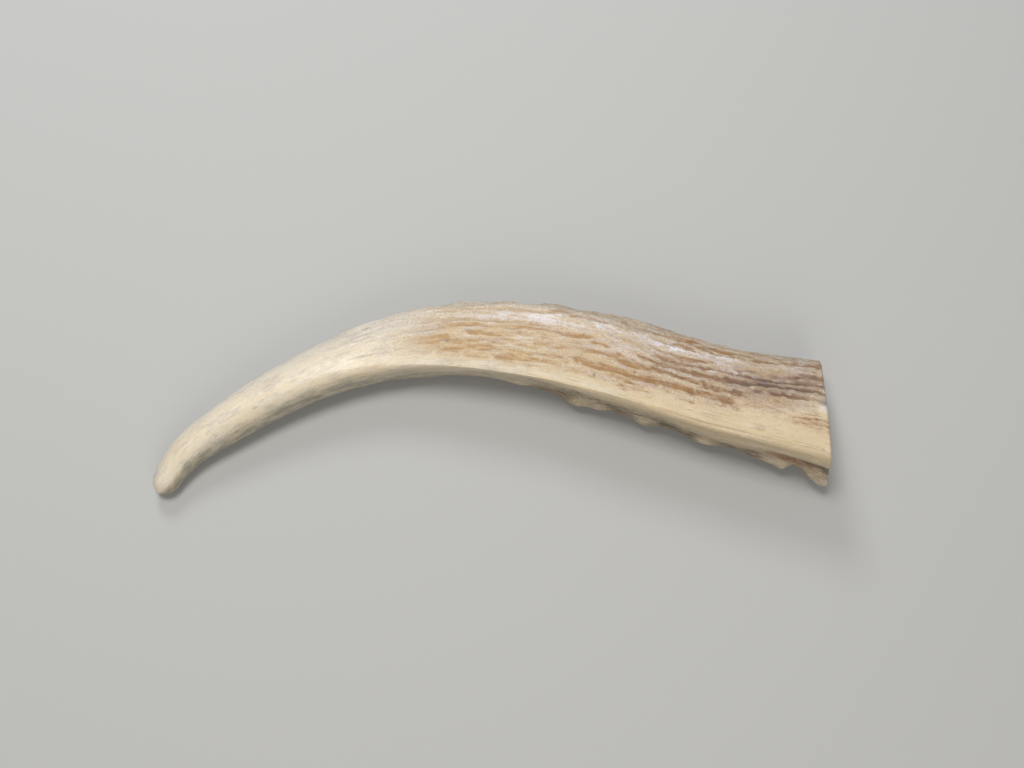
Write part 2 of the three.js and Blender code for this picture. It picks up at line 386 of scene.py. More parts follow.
class Tine:
    """The tine as a grid of rings: `distance` and `x` by ring, `angle` around, all in millimetres."""

    CAP_RINGS = 14
    WAY_STEPS = 6000  # steps in which the centreline is measured
    ANGLE_STEPS = 721
    RUN_STEP = 1e-3  # half the step, in stations, that gives the direction of the centreline

    def __init__(self, rings, around):
        u = np.linspace(0, len(SECTIONS) - 1, self.WAY_STEPS)
        table = along(u)
        steps = np.hypot(*np.diff(table[:, :2], axis=0).T)
        way = np.concatenate([[0], np.cumsum(steps)])
        self.length = way[-1]
        cap = TIP_ROUNDING * (1 - np.cos(np.linspace(0, math.pi / 2, self.CAP_RINGS + 1)[1:]))
        share = np.linspace(0, 1, rings - self.CAP_RINGS + 1)[1:]
        body = TIP_ROUNDING + (self.length - TIP_ROUNDING) * share * (1 + CROWDING * (1 - share))
        self.distance = np.concatenate([cap, body])[:, None]
        places = np.interp(self.distance[:, 0], way, u)
        self.at = along(places)
        after, before = np.minimum(places + self.RUN_STEP, u[-1]), np.maximum(places - self.RUN_STEP, 0)
        run = along(after) - along(before)
        self.run = run[:, :2] / np.hypot(run[:, 0], run[:, 1])[:, None]
        self.x = self.at[:, :1]
        fine = np.linspace(0, 360, self.ANGLE_STEPS)
        packed = np.cumsum(1 + FACE_CROWDING * in_band(FACE_BAND, fine))
        packed = (packed - packed[0]) / (packed[-1] - packed[0])
        self.angle = np.interp(np.arange(around) / around, packed, fine)[None, :]
        self.turn = self.angle / 360
        self.tip = np.array([SECTIONS[0][0], SECTIONS[0][1], SECTIONS[0][3] / 2])

    def irregular(self, *layers, wander=0):
        """Sum of irregular layers: height, length along the tine, count around the section, seed."""
        return sum(
            height * noise(self.distance / length, self.turn + wander, around, seed)
            for height, length, around, seed in layers
        )

    def forms(self):
        """Main relief above the plain oval section."""
        x, angle = self.x, self.angle
        rough = smoothstep(x, *ROUGH_SPAN)
        start, end, soft = SMOOTH_FLANK
        start = start + (FLANK_SPREAD[0] - start) * smoothstep(x, *FLANK_SPREAD[1:])
        ribbed = 1 - (1 - SMOOTH_FLANK_RIBS) * in_band((start, end, soft), angle)
        ribs = self.irregular(RIBS, wander=self.irregular(RIB_WANDER))
        pearled = in_band(OUTER_EDGE, angle) + in_band(UNDER_LIP, angle)
        pearls = np.maximum(0, self.irregular(PEARLS))
        lip = sum(height * bell((x - at) / reach) for at, reach, height in LIP_LUMPS)
        raised = rough * ribbed * ribs + rough * pearled * pearls
        raised = raised + lip * nearness(angle, LIP[0], LIP[1])
        for *place, height in HOLLOWS + KNOBS:
            raised = raised + height * blot(x, angle, *place)
        for form in (LIP, VALLEY, KEEL, FLANK, EDGE_RIDGE, EDGE_GUTTER):
            raised = raised + feature(form, angle, x)
        return raised

    def straight(self, raised):
        """Surface points as if the tine were straight: distance, sideways, up."""
        x, width, height, crest = self.x, self.at[:, 2:3], self.at[:, 3:4], self.at[:, 4:5]
        to_tip = np.minimum(1, self.distance / TIP_ROUNDING)
        rounding = np.sqrt(1 - (1 - to_tip) ** 2)
        cos, sin = np.cos(np.radians(self.angle)), np.sin(np.radians(self.angle))
        lean = np.where(sin > 0, crest * (1 - np.abs(cos)), 0)
        thinning = np.where(self.angle < 90, WEDGE * smoothstep(x, *WEDGE_SPAN), 0)
        sideways = rounding * ((width / 2 + raised) * cos - lean)
        rise = np.sign(sin) * np.abs(sin) ** (1 + thinning)
        up = rounding * (height / 2 + raised) * rise
        return np.stack([self.distance + 0 * sideways, sideways, up], axis=-1)

    def placed(self, straight):
        """Bends straight points along the centreline and slides them to meet the saw cut."""
        sideways, up = straight[..., 1], straight[..., 2]
        arch = ARCH_RISE * np.sin(math.pi * ARCHES * self.distance / self.length) ** 2
        p = np.stack(
            [
                self.x - self.run[:, 1:] * sideways,
                self.at[:, 1:2] + self.run[:, :1] * sideways,
                self.at[:, 3:4] / 2 + arch + up,
            ],
            axis=-1,
        )
        normal = cut_normal()
        to_cut = self.length - self.distance
        share = 1 - smoothstep(to_cut, 0, CUT_RUN)
        pace = (self.run @ normal[:2])[:, None]
        gap = (CUT_X * normal[0] - p @ normal) / pace
        slide = (gap - to_cut) * share
        p[..., 0] += self.run[:, :1] * slide
        p[..., 1] += self.run[:, 1:] * slide
        return p


# ---- Fine relief and the fields that carry the stains, the painted shade and the painted highlight ----

# Lower edge of the rough face as (x, angle around the section); the smooth cream band lies below it.
ROUGH_BORDER = (
    (-60, 78),
    (-16, 82),
    (8, 83),
    (26, 83),
    (38, 81),
    (50, 80),
    (62, 76),
    (74, 72),
    (79, 65),
    (86, 60),
)
# Lower edge of the weathered outer edge, in the same way.
EDGE_BORDER = ((-30, 8), (-12, 16), (0, 26), (14, 34), (30, 36), (52, 35), (70, 30), (86, 30))
BORDER_SOFT = 5  # degrees to either side over which the rough face ends
EDGE_SOFT = 6
UNDERSIDE = (183, 194)  # degrees over which the underside begins
FRONT = (-46, -4)  # span of x over which the rough surface begins
# Irregular layers that fray these borders, in degrees, and that front, in millimetres.
FRAYED = ((3.5, 6, 30, 12), (2.5, 1.9, 80, 13))
FRAYED_FRONT = (5, 9, 14, 15)

# Troughs of the rough face run side by side, and irregular layers sway and break them. The level at a
# place is the sum of the wave across the troughs, the breaks, the grit and the beads.
TROUGH_COUNT = 50
SWAY = ((1.0, 26, 12, 24), (0.4, 9, 30, 25), (0.2, 1.2, 90, 28))  # heights in troughs
BREAKS = ((0.72, 13, 86, 22), (0.3, 3.4, 150, 23))
WAVE_SHARE, GRIT_SHARE, BEAD_SHARE = 0.46, 0.1, 0.26
TROUGH_STEP = (-0.15, 0.5)  # levels between which the surface drops into a trough
CREST_LEVEL, CREST_WIDTH = -0.3, 0.14
CREST_RISE = 0.35  # height of a crest, as a share of the groove depth
CREST_STRENGTH, TROUGH_STRENGTH = 0.6, 0.8
CREST_FADES = (0.6, 7, 60, 29)  # irregular layers over the strength of the crests and the troughs
TROUGH_FADES = (0.2, 12, 10, 27)

# Lumps in space: factors along the tine, across it and upwards (below 1 they are drawn out), size, seed.
GRIT = ((1, 1, 1), 0.8, 3)
BEADS = ((0.45, 1, 1), 0.95, 5)
FINE_PEARLS = (((0.7, 1, 1), 1.6, 61), ((0.7, 1, 1), 0.95, 62))
PEARL_GAP = 0.22  # how deep the gaps between pearls lie, as a share of their size
RIPPLE = ((0.12, 1, 1), 1.6, 8)
RIPPLE_HEIGHT = 0.035
RIPPLE_WORN = 0.5  # share of the ripple that is lost on the rough part
GRIT_LEAST = 0.2  # share of the grit that is left where there are no ribs
# How strongly each zone is ribbed, and how strongly it is pearled.
RIBBED = {"face": 1, "under": 0.7, "edge": 0.75}
PEARLED = {"under": 1, "edge": 0.45}
KEEL_CREST = (90, 4, 0.3, (-34, -10), (24, 42))
SHOULDER = (117, 17, 0.7, (-44, -18), (22, 62))
LATE_SHOULDER = (112, 26, 0.4, (22, 62), END)
ROLL = (133, 9, -0.25, (22, 52), END)
# Low bumps of the outer edge and of the inner wall: the feature that they make up, and their lumps.
BUMPS = (
    ((12, 26, 0.45, (-52, -32), (-2, 16)), ((0.55, 1, 1), 2.1, 17)),
    ((156, 30, 0.22, (-50, -30), (30, 60)), ((0.55, 1, 1), 1.7, 17)),
)
# Slow swells that slope the inner wall near the saw cut: x, angle, reach along the tine, spread, height.
SWELLS = ((61, 100, 12, 12, -0.4), (61, 134, 11, 22, 0.45), (61, 160, 10, 14, 0.5), (60, 181, 8, 10, 0.6))
WALL_LIGHT = (61, 158, 11, 30)  # where the wall is sloped and so stays free of the painted shade and dirt: x, angle, reach, spread

# A fine line along the point half, a low ridge with a painted highlight, as (x, angle around the section),
# broken into dashes.
HIGHLIGHT_LINE = ((-79, 103), (-73, 93), (-67, 82), (-57, 77), (-43, 74), (-24, 71))
LINE_ENDS = ((-80, -70), (-32, -22))  # spans of x over which it fades in and out
LINE_SPREAD = 5
LINE_HEIGHT = 0.12
LINE_WANDER = (5, 7, 3, 92)
DASHES = (1, 1.7, 30, 91)
DASH_STEP = (-0.7, 0.5)
SHEEN = (-4, 26)  # degrees from the line to the middle of the sheen around it, and its half width
SHEEN_END = (-46, -20)
SHEEN_SHARE = 0.8
KEEL_HIGHLIGHT = (92, 5, 0.9, (-26, 0), (30, 46))  # the painted highlight along the crest, as for a feature
# A chip out of the rim of the saw cut: x, angle, reach along the tine, spread around it.
CHIP = (83.2, 61, 1.3, 2.6)
CHIP_DEPTH = 0.8

# Patches of colour: share, x, angle, reach along the tine, spread around it.
SPECKS = (
    (1, 26.8, 81, 0.35, 1.6),
    (1, -78.6, 126, 0.7, 2.2),
    (1, -53.0, 128, 0.9, 1.8),
    (1, -59.9, 102, 0.5, 1.8),
    (1, -30.2, 30, 0.8, 1.6),
    (1, -11.2, 69, 0.5, 1.5),
    (1, -8.2, 98, 0.6, 1.8),
    (1, 82.2, 170, 1.1, 3.5),
)
EARLY_STAIN = ((1, -13, 69, 8, 7), (1, -1, 55, 9, 5), (1, 4, 80, 8, 5))
LATE_STAIN = ((0.9, 80, 76, 6, 5),)
OCHRE_STREAKS = (
    (0.8, 22, 72.5, 3.5, 2.0),
    (0.7, 33.5, 67.5, 4, 2.0),
    (0.4, 38, 73, 4.5, 2.0),
    (0.5, 24.5, 65, 4.5, 1.7),
    (0.5, 22.5, 52, 4.5, 2.2),
    (0.4, 48, 72, 3, 1.8),
)
UMBER_PATCHES = (
    (1.1, 69, 53, 9, 10),
    (0.66, 66, 62, 10, 8),
    (0.77, 81, 47, 6, 11),
    (0.38, 50, 56, 12, 10),
    (0.55, 74, 24, 14, 14),
)
CHALK_PATCHES = (
    (1.2, 54, 39, 7, 3.2),
    (1.0, 51, 52, 4, 1.8),
    (0.9, 61, 50, 3.5, 2.2),
    (1.0, 42, 40, 5, 5),
    (0.8, 24, 39, 13, 5),
    (0.7, 8, 42, 10, 8),
    (0.4, -12, 46, 14, 12),
    (0.35, 30, 56, 10, 8),
    (0.7, 82.6, 66, 1.4, 1.8),
)
RUST_PATCHES = ((0.85, 73, 168, 4.5, 12), (0.4, 78, 163, 4, 6))
PALE_KNOB = (80.5, 184, 6, 15)
PALE_TOPS = (192, 15)  # angle and spread of the pale tops of the lip's lumps

# Steps along the tine: how much is added, and the span of x over which it comes.
THIN_STAIN = (0.35, (-34, 0))
FULL_STAIN = (0.65, (6, 34))
EDGE_STAIN = (0.55, (0, 50))
OLIVE_STEP = (1, (-40, 16))
BAND_STEP = (1, (-10, 34))
DIRT_AND_SHADE_STEP = (1, (6, 26))
CREASE_SHADE_STEP = (1, (12, 26))
CREASE_SHADE_CLIMB = (24, (68, 76))  # degrees
SHADE_DROP = (38, (-44, 0))  # degrees that the start of the painted shade moves down, and later up again
SHADE_CLIMB = (18, (30, 60))
SHADE_END_DROP = (12, (-44, 0))
SHADE_FADE = (0.45, (-44, 10))
WASH_ENDS = ((-26, -6), (18, 46))  # spans of x over which the golden stain fades in and out
WASH_SHARE, WASH_EARLY = 0.75, 0.9
STAIN_EARLY = 0.7
STAIN_LEVEL = 0.85  # mean strength of the stain, before its clouds and streaks
CREASE_SHADE_STRENGTH = 0.8
EDGE_OLIVE = 0.5  # how olive the edge is, as a share of the underside
LATE_TROUGH = 0.5  # how much the late stain darkens, as a trough does
WASH_CLOSING = 0.35  # how much the golden stain closes the open grain

# Angles in degrees: where the painted grey shade of the inner side starts and is full, where the cool outer
# side, partly painted shade, ends, where the cream band begins, and the middles and half widths of the
# smudges of dirt and painted shade and of the painted shade along the crease over the lip.
SHADE_SPAN = (92, 156)
COOL_END = (30, 78)
BAND_START = (60, 80)
DIRT_AND_SHADE = (174, 25)
CREASE_SHADE = (187, 5)

# Irregular layers of the stains and of the painted shade.
CLOUDS = (0.2, 11, 12, 43)
STREAKS = (0.25, 20, 40, 42)
STREAK_WANDER = (0.01, 9, 20, 41)
FRAYED_SHADE = (10, 14, 12, 51)
CREASE_SHADE_BREAKS = (0.6, 3, 40, 55)

# How free of each mark, the painted shade among them, the sloped wall and the pale knobs of the lip are.
WALL_FREE = {"shade": 0.8, "dirt_and_shade": 0.75, "crease_shade": 0.7}
KNOB_FREE = {"shade": 0.8, "dirt_and_shade": 0.85, "crease_shade": 0.8, "olive": 0.9}


def patches(table, x, angle):
    """Sum of the patches in a table."""
    return sum(share * blot(x, angle, *place) for share, *place in table)


def zones(tine):
    """Where each kind of surface lies, from 0 to 1."""
    x, angle = tine.x, tine.angle
    from_edge = (angle + 60) % 360 - 60  # degrees, with the outer edge at 0
    frayed = from_edge + tine.irregular(*FRAYED)
    edge_end, face_end = np.interp(x, *zip(*EDGE_BORDER)), np.interp(x, *zip(*ROUGH_BORDER))
    edge = 1 - smoothstep(frayed, edge_end - EDGE_SOFT, edge_end + EDGE_SOFT)
    face = 1 - smoothstep(frayed, face_end - BORDER_SOFT, face_end + BORDER_SOFT)
    return {
        "face": face * (1 - edge),
        "under": smoothstep(frayed, *UNDERSIDE),
        "edge": edge,
        "rough": smoothstep(x + tine.irregular(FRAYED_FRONT), *FRONT),
        "from_edge": from_edge,
    }


def highlight_line_and_sheen(tine):
    """The line of the point half, a low ridge broken into dashes that carries a painted highlight, and the
    painted sheen around it.
    """
    x, angle = tine.x, tine.angle
    middle = np.interp(x, *zip(*HIGHLIGHT_LINE))
    aside, spread = SHEEN
    sheen = nearness(angle, middle + aside, spread) * (1 - smoothstep(x, *SHEEN_END))
    dashes = smoothstep(tine.irregular(DASHES), *DASH_STEP)
    middle = middle + tine.irregular(LINE_WANDER)
    return shown(x, *LINE_ENDS) * dashes * nearness(angle, middle, LINE_SPREAD), sheen


def fine_relief(tine, shape, where, straight):
    """Fine relief in millimetres on top of the main forms, and the troughs and crests in it."""
    x, angle, rough = tine.x, tine.angle, where["rough"]
    ribbed = np.clip(sum(share * where[zone] for zone, share in RIBBED.items()), 0, 1)
    pearled = np.clip(sum(share * where[zone] for zone, share in PEARLED.items()), 0, 1)
    grit, beads = lumps(straight, *GRIT), lumps(straight, *BEADS)
    wave = np.sin(2 * math.pi * (TROUGH_COUNT * tine.turn + tine.irregular(*SWAY)))
    level = WAVE_SHARE * wave + tine.irregular(*BREAKS) + GRIT_SHARE * grit + BEAD_SHARE * beads
    trough = smoothstep(level, *TROUGH_STEP)
    crest = bell((level - CREST_LEVEL) / CREST_WIDTH)
    crest = crest * (CREST_STRENGTH + tine.irregular(CREST_FADES))
    strength = (TROUGH_STRENGTH + tine.irregular(TROUGH_FADES)) * rough * ribbed
    relief = shape.groove_depth / MM * (0.5 - trough + CREST_RISE * crest)
    relief = (relief + shape.bead_height / MM * np.maximum(0, beads) * (1 - trough)) * strength
    relief += shape.grit_height / MM * grit * rough * (GRIT_LEAST + (1 - GRIT_LEAST) * ribbed)
    pearls = sum(layer[1] * (np.maximum(0, lumps(straight, *layer)) - PEARL_GAP) for layer in FINE_PEARLS)
    relief += shape.pearl_height / MM * pearls * rough * pearled
    relief += RIPPLE_HEIGHT * lumps(straight, *RIPPLE) * (1 - RIPPLE_WORN * rough)
    relief += sum(feature(form, angle, x) for form in (KEEL_CREST, SHOULDER, LATE_SHOULDER, ROLL))
    for form, layer in BUMPS:
        relief += feature(form, angle, x) * lumps(straight, *layer)
    for *place, height in SWELLS:
        relief += height * blot(x, angle, *place)
    relief += LINE_HEIGHT * highlight_line_and_sheen(tine)[0]
    relief -= CHIP_DEPTH * blot(x, angle, *CHIP)
    return relief, trough * strength, crest * strength


def stain_fields(tine, where):
    """Brown stain of the rough face and the outer edge, and the golden stain where the face begins."""
    x, angle, face = tine.x, tine.angle, where["face"]
    early, late = patches(EARLY_STAIN, x, angle), patches(LATE_STAIN, x, angle)
    streaks = tine.irregular(STREAKS, wander=tine.irregular(STREAK_WANDER))
    cloudy = np.clip(STAIN_LEVEL + tine.irregular(CLOUDS) + streaks, 0, 1)
    stain = face * (step(*THIN_STAIN, x) + step(*FULL_STAIN, x)) * cloudy + STAIN_EARLY * early * face
    stain = np.clip(stain + where["edge"] * step(*EDGE_STAIN, x) + late, 0, 1)
    wash = face * np.clip(WASH_EARLY * early + WASH_SHARE * shown(x, *WASH_ENDS), 0, 1)
    return stain, wash, late


def inner_marks(tine, where):
    """Marks of the inner side: the painted grey shade, smudges of dirt and painted shade, the painted shade
    along the crease over the lip, and the olive lip, which is partly painted shade.
    """
    x, angle = tine.x, tine.angle
    # Painted grey shade of the inner side.
    frayed = where["from_edge"] + tine.irregular(FRAYED_SHADE)
    start = SHADE_SPAN[0] + step(*SHADE_DROP, x) - step(*SHADE_CLIMB, x)
    shade = smoothstep(frayed, start, SHADE_SPAN[1] + step(*SHADE_END_DROP, x))
    # Painted shade along the crease of the valley over the lip.
    crease_shade = nearness(angle, CREASE_SHADE[0] - step(*CREASE_SHADE_CLIMB, x), CREASE_SHADE[1]) * step(*CREASE_SHADE_STEP, x)
    marks = {
        "shade": shade * (1 - step(*SHADE_FADE, x)),
        # Smudges of dirt and painted shade, low on the inner wall.
        "dirt_and_shade": nearness(angle, *DIRT_AND_SHADE) * step(*DIRT_AND_SHADE_STEP, x),
        "crease_shade": crease_shade * (CREASE_SHADE_STRENGTH + tine.irregular(CREASE_SHADE_BREAKS)),
        # Olive of the edge, lip and underside, partly painted shade on the lip and underside.
        "olive": (where["under"] + EDGE_OLIVE * where["edge"]) * step(*OLIVE_STEP, x),
    }
    # Where the wall is sloped it stays free of the painted shade and dirt.
    sloped_wall = blot(x, angle, *WALL_LIGHT)
    tops = sum(bell((x - at) / reach) for at, reach, _ in LIP_LUMPS)
    knob = np.clip(blot(x, angle, *PALE_KNOB) + tops * nearness(angle, *PALE_TOPS), 0, 1)
    for place, free in ((sloped_wall, WALL_FREE), (knob, KNOB_FREE)):
        for name, share in free.items():
            marks[name] = marks[name] * (1 - share * place)
    return marks


def colour_fields(tine, where, trough, crest):
    """Point fields that the bone material reads: stains, painted shade and painted highlight."""
    x, angle = tine.x, tine.angle
    rough, face, under, edge = where["rough"], where["face"], where["under"], where["edge"]
    stain, wash, late = stain_fields(tine, where)
    line, sheen = highlight_line_and_sheen(tine)
    frayed = where["from_edge"] + tine.irregular(FRAYED_SHADE)
    band = (1 - face) * (1 - under) * (1 - edge) * smoothstep(where["from_edge"], *BAND_START)
    fields = {
        "rough": rough,
        "open": rough * np.clip(face + under + edge, 0, 1) * (1 - WASH_CLOSING * wash),
        "trough": trough + LATE_TROUGH * late,
        "crest": crest,
        "stain": stain,
        "wash": wash,
        "ochre": patches(OCHRE_STREAKS, x, angle),
        "umber": (face + edge) * patches(UMBER_PATCHES, x, angle),
        "chalk": rough * patches(CHALK_PATCHES, x, angle),
        "chip": blot(x, angle, *CHIP),
        "band": band * step(*BAND_STEP, x),
        # The cool outer side, partly painted shade.
        "cool": 1 - smoothstep(frayed, *COOL_END),
        "rust": patches(RUST_PATCHES, x, angle),
        "speck": patches(SPECKS, x, angle),
        # Painted highlight: the line, its sheen and the line along the keel's crest.
        "line": line + SHEEN_SHARE * sheen + feature(KEEL_HIGHLIGHT, angle, x),
        **inner_marks(tine, where),
    }
    shape = (len(tine.distance), tine.angle.size)
    return {name: np.broadcast_to(values, shape).ravel() for name, values in fields.items()}


# ---- The saw cut ----

FACE_RINGS = 56
FACE_GRAIN_AT = (120, 0, 0)  # millimetres that the grain of the cut lies away from the tine's own
WALL = 0.26  # compact bone, as a share of the way from the rim to the middle
WALL_FADE = 0.2  # share of the way over which it opens into the spongy core
WALL_UNEVEN = (0.05, 3.0, 71)  # share, size and seed of the lumps that sway this border
PORE_PITCH = 0.92
PORE_STRAY = 0.45  # how far a pore lies off the lattice, as a share of the pitch
PORE_RADIUS = 0.3
PORE_UNEVEN = 0.6  # how much larger or smaller a pore may be
PORE_SLOPE = 0.12
SAW_PITCH = 0.9
SAW_HEIGHT = 0.035
SAW_STROKE = (0.0, 0.92, 0.39)  # direction across the saw marks
SAW_SWAY = (1.5, 6.0, 75)  # sway, size and seed of the lumps that bend the marks
RIM_UNEVEN = (0.5, 2.5, 81)  # the same for the wear of the rim


def pores_at(places):
    """Round pores of mixed sizes, one near each point of an uneven lattice."""
    cell = np.floor(places / PORE_PITCH)
    opening = 0
    for beside in np.ndindex(3, 3):
        at = cell + beside - 1
        i, j = at[..., 0], at[..., 1]
        strayed = np.stack([scatter(i, j), scatter(i + 31, j + 7)], axis=-1)
        away = places - (at + 0.5 + PORE_STRAY * strayed) * PORE_PITCH
        radius = PORE_RADIUS * (1 + PORE_UNEVEN * scatter(i + 5, j + 11))
        opening = np.maximum(opening, smoothstep(radius - np.linalg.norm(away, axis=-1), 0, PORE_SLOPE))
    return opening


def cut_face(rim, shape):
    """Rings of points from the rim of the cut to its middle, and where they are core and open pores."""
    middle = rim.mean(axis=0)
    inward = np.linspace(0, 1, FACE_RINGS + 1)[1:-1][:, None, None]
    flat = rim[None] * (1 - inward) + middle * inward
    normal = cut_normal()
    way = np.broadcast_to(inward[..., 0], flat.shape[:2])
    core = smoothstep(way + uneven(WALL_UNEVEN, flat), WALL, WALL + WALL_FADE)
    open_pores = core * pores_at(flat[..., 1:])
    saw = np.sin(2 * math.pi * flat @ np.array(SAW_STROKE) / SAW_PITCH + uneven(SAW_SWAY, flat))
    dip = shape.pore_depth / MM * open_pores + SAW_HEIGHT * (0.5 + 0.5 * saw) * smoothstep(way, 0, 0.05)
    return flat - dip[..., None] * normal, middle, core, open_pores


# ---- Mesh ----


def grid_faces(rows, around, start):
    """Quads between rows of points that close around, from the point numbered `start` on."""
    i = np.arange(rows - 1)[:, None] * around + start
    j = np.arange(around)[None, :]
    k = (j + 1) % around
    return np.stack([i + j, i + k, i + around + k, i + around + j], axis=-1).reshape(-1, 4)


def fan_faces(middle, start, around, outward):
    """Triangles from a middle point to the ring of points that starts at `start`."""
    j = start + np.arange(around)
    k = start + (np.arange(around) + 1) % around
    ends = (j, k) if outward else (k, j)
    return np.stack([np.full(around, middle), *ends], axis=-1)


def mesh_from(name, points, quads, triangles):
    """A smooth mesh of points, quads and triangles."""
    mesh = bpy.data.meshes.new(name)
    mesh.vertices.add(len(points))
    mesh.vertices.foreach_set("co", points.astype(np.float32).ravel())
    corners = np.concatenate([quads.ravel(), triangles.ravel()])
    sizes = np.concatenate([np.full(len(quads), 4), np.full(len(triangles), 3)])
    mesh.loops.add(len(corners))
    mesh.loops.foreach_set("vertex_index", corners.astype(np.int32))
    mesh.polygons.add(len(sizes))
    mesh.polygons.foreach_set("loop_start", (np.cumsum(sizes) - sizes).astype(np.int32))
    mesh.polygons.foreach_set("use_smooth", np.ones(len(sizes), bool))
    mesh.update(calc_edges=True)
    if mesh.validate():
        raise RuntimeError(f"{name} has faces that share an edge wrongly")
    return mesh


def add_field(mesh, name, values, kind="FLOAT"):
    """Stores one value, or one vector, for each point of the mesh."""
    layer = mesh.attributes.new(name, kind, "POINT")
    key = "vector" if kind == "FLOAT_VECTOR" else "value"
    layer.data.foreach_set(key, np.asarray(values, np.float32).ravel())


# Flat layout, in shares of its square.
STRIP_ENDS = (0.005, 0.79)  # left and right end of both strips
STRIPS = ((0.005, 0.385), (0.4, 0.995))  # low and high end of the strips of the point half and the cut half
CUT_PATCH = (0.81, 0.01, 0.18)  # left and low end of the patch of the cut, and its size


def unwrap(mesh, body, middle):
    """Lays the surface out flat: the tine in two strips, one above the other, and the cut beside them."""
    around = body.shape[1]
    steps = np.linalg.norm(np.diff(body, axis=0), axis=2).mean(axis=1)
    way = np.cumsum([np.linalg.norm(body[0] - body[0].mean(axis=0), axis=1).mean(), *steps])
    split = int(np.searchsorted(way, way[-1] / 2))

    def in_strip(number, ring_way, column):
        start, end = (0, way[split]) if number == 0 else (way[split], way[-1])
        (left, right), (low, high) = STRIP_ENDS, STRIPS[number]
        across = left + (right - left) * (ring_way - start) / (end - start)
        up = high - (high - low) * column / around
        return np.stack(np.broadcast_arrays(across, up), axis=-1)

    inward = np.linspace(0, 1, FACE_RINGS + 1)[:, None, None]
    flat = (body[-1] * (1 - inward) + middle * inward)[..., 1:]
    corner = flat.min(axis=(0, 1))
    left, low, size = CUT_PATCH
    patch = (left, low) + size * (flat - corner) / (flat - corner).max()

    rings, columns = np.indices((len(body) - 1, around))
    ring = np.stack([rings, rings, rings + 1, rings + 1], axis=-1)
    column = np.stack([columns, columns + 1, columns + 1, columns], axis=-1)
    strips = [in_strip(0, way[ring[:split]], column[:split]), in_strip(1, way[ring[split:]], column[split:])]
    rings, columns = np.indices((FACE_RINGS - 1, around))
    after = (columns + 1) % around
    disc = np.stack(
        [patch[rings, columns], patch[rings, after], patch[rings + 1, after], patch[rings + 1, columns]],
        axis=2,
    )
    j = np.arange(around)
    tip = in_strip(0, np.array([0, way[0], way[0]]), np.stack([j + 0.5, j + 1, j], axis=-1))
    core = np.stack([patch[-1], patch[-2], patch[-2][(j + 1) % around]], axis=1)
    places = np.concatenate([part.reshape(-1, 2) for part in (*strips, disc, tip, core)])
    mesh.uv_layers.new(name="OFBake").uv.foreach_set("vector", places.astype(np.float32).ravel())


def solid_shift(tine, forms):
    """What moves the tine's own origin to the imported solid's place."""
    p = tine.placed(tine.straight(forms)).reshape(-1, 3)
    p = np.vstack([p, tine.tip])
    low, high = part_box(NODE)
    low, high = np.array(low) / MM, np.array(high) / MM
    shift = (low + high) / 2 - (p.min(axis=0) + p.max(axis=0)) / 2
    shift[2] = low[2] - p[:, 2].min()
    return shift


def grow(shape):
    """The whole tine as one mesh with the point fields of its colours, painted shade and highlight among
    them.
    """
    tine = Tine(shape.rings, shape.around)
    forms = tine.forms()
    where = zones(tine)
    fine, trough, crest = fine_relief(tine, shape, where, tine.straight(forms))
    fields = colour_fields(tine, where, trough, crest)
    straight = tine.straight(forms + fine)
    body = tine.placed(straight)
    # The rim of the cut is worn in a little, unevenly.
    middle = body[-1].mean(axis=0)
    wear = shape.chamfer / MM * (1 + uneven(RIM_UNEVEN, body[-1]))
    out = body[-1] - middle
    body[-1] -= out / np.linalg.norm(out, axis=1)[:, None] * wear[:, None]
    face, middle, core, pores = cut_face(body[-1], shape)

    around = shape.around
    points = np.vstack([tine.tip, body.reshape(-1, 3), face.reshape(-1, 3), middle])
    points = (points + solid_shift(tine, forms)) * MM
    points[:, 2] = np.maximum(points[:, 2], 0)
    rows = len(body) + len(face)
    quads = grid_faces(rows, around, 1)
    triangles = np.vstack(
        [
            fan_faces(0, 1, around, False),
            fan_faces(len(points) - 1, 1 + (rows - 1) * around, around, True),
        ]
    )
    mesh = mesh_from(NODE + "_grown", points, quads, triangles)
    unwrap(mesh, body, middle)

    extra = face.shape[0] * around + 1
    for name, values in fields.items():
        add_field(mesh, name, np.concatenate([values[:1], values, np.zeros(extra)]))
    on_body = np.zeros(1 + len(body) * around)
    add_field(mesh, "cut", np.concatenate([on_body, np.ones(extra)]))
    add_field(mesh, "core", np.concatenate([on_body, core.ravel(), [1]]))
    add_field(mesh, "pore", np.concatenate([on_body, pores.ravel(), [0]]))
    tip = np.array([[0, 0, 0]])
    face_grain = np.vstack([face.reshape(-1, 3), middle]) + FACE_GRAIN_AT
    grain = np.vstack([tip, straight.reshape(-1, 3), face_grain])
    add_field(mesh, "grain", grain, "FLOAT_VECTOR")
    return mesh


# ---- Bone material ----

# Grains of the bone, each as noise: scale by axis, detail, roughness, distortion.
GRAINS = {
    "long": ((0.06, 0.45, 0.45), 3.0, 0.55),
    "fine": ((0.18, 1.6, 1.6), 4.0, 0.65),
    "drawn": ((0.13, 1.4, 1.4), 5.0, 0.75),
    "streak": ((0.15, 1.25, 1.25), 5.0, 0.65, 0.4),
    "cloud": ((0.17, 0.56, 0.56), 7.0, 0.75, 0.2),
    "patch": ((0.22, 0.55, 0.55), 3.0, 0.6),
    "mottle": ((0.7, 1.1, 1.1), 4.0, 0.65),
    "speckle": ((1.9, 2.8, 2.8), 3.0, 0.7),
}
HAIR_GRAIN = ((0.03, 0.7, 0.7), 2.0, 0.5, 0.25)
HAIR_BREAKS = ((0.07, 0.4, 0.4), 2.0)
HAIR_LEVEL, HAIR_WIDTH = 0.53, 0.02
RING_GRAIN = ((0.8, 0.8, 0.8), 4.0, 0.6)
PORE_GRAIN = ((1.6, 1.6, 1.6), 2.0, 0.5)
GLOSS = (0.28, 0.52)  # roughness of the polished point and of the rough part
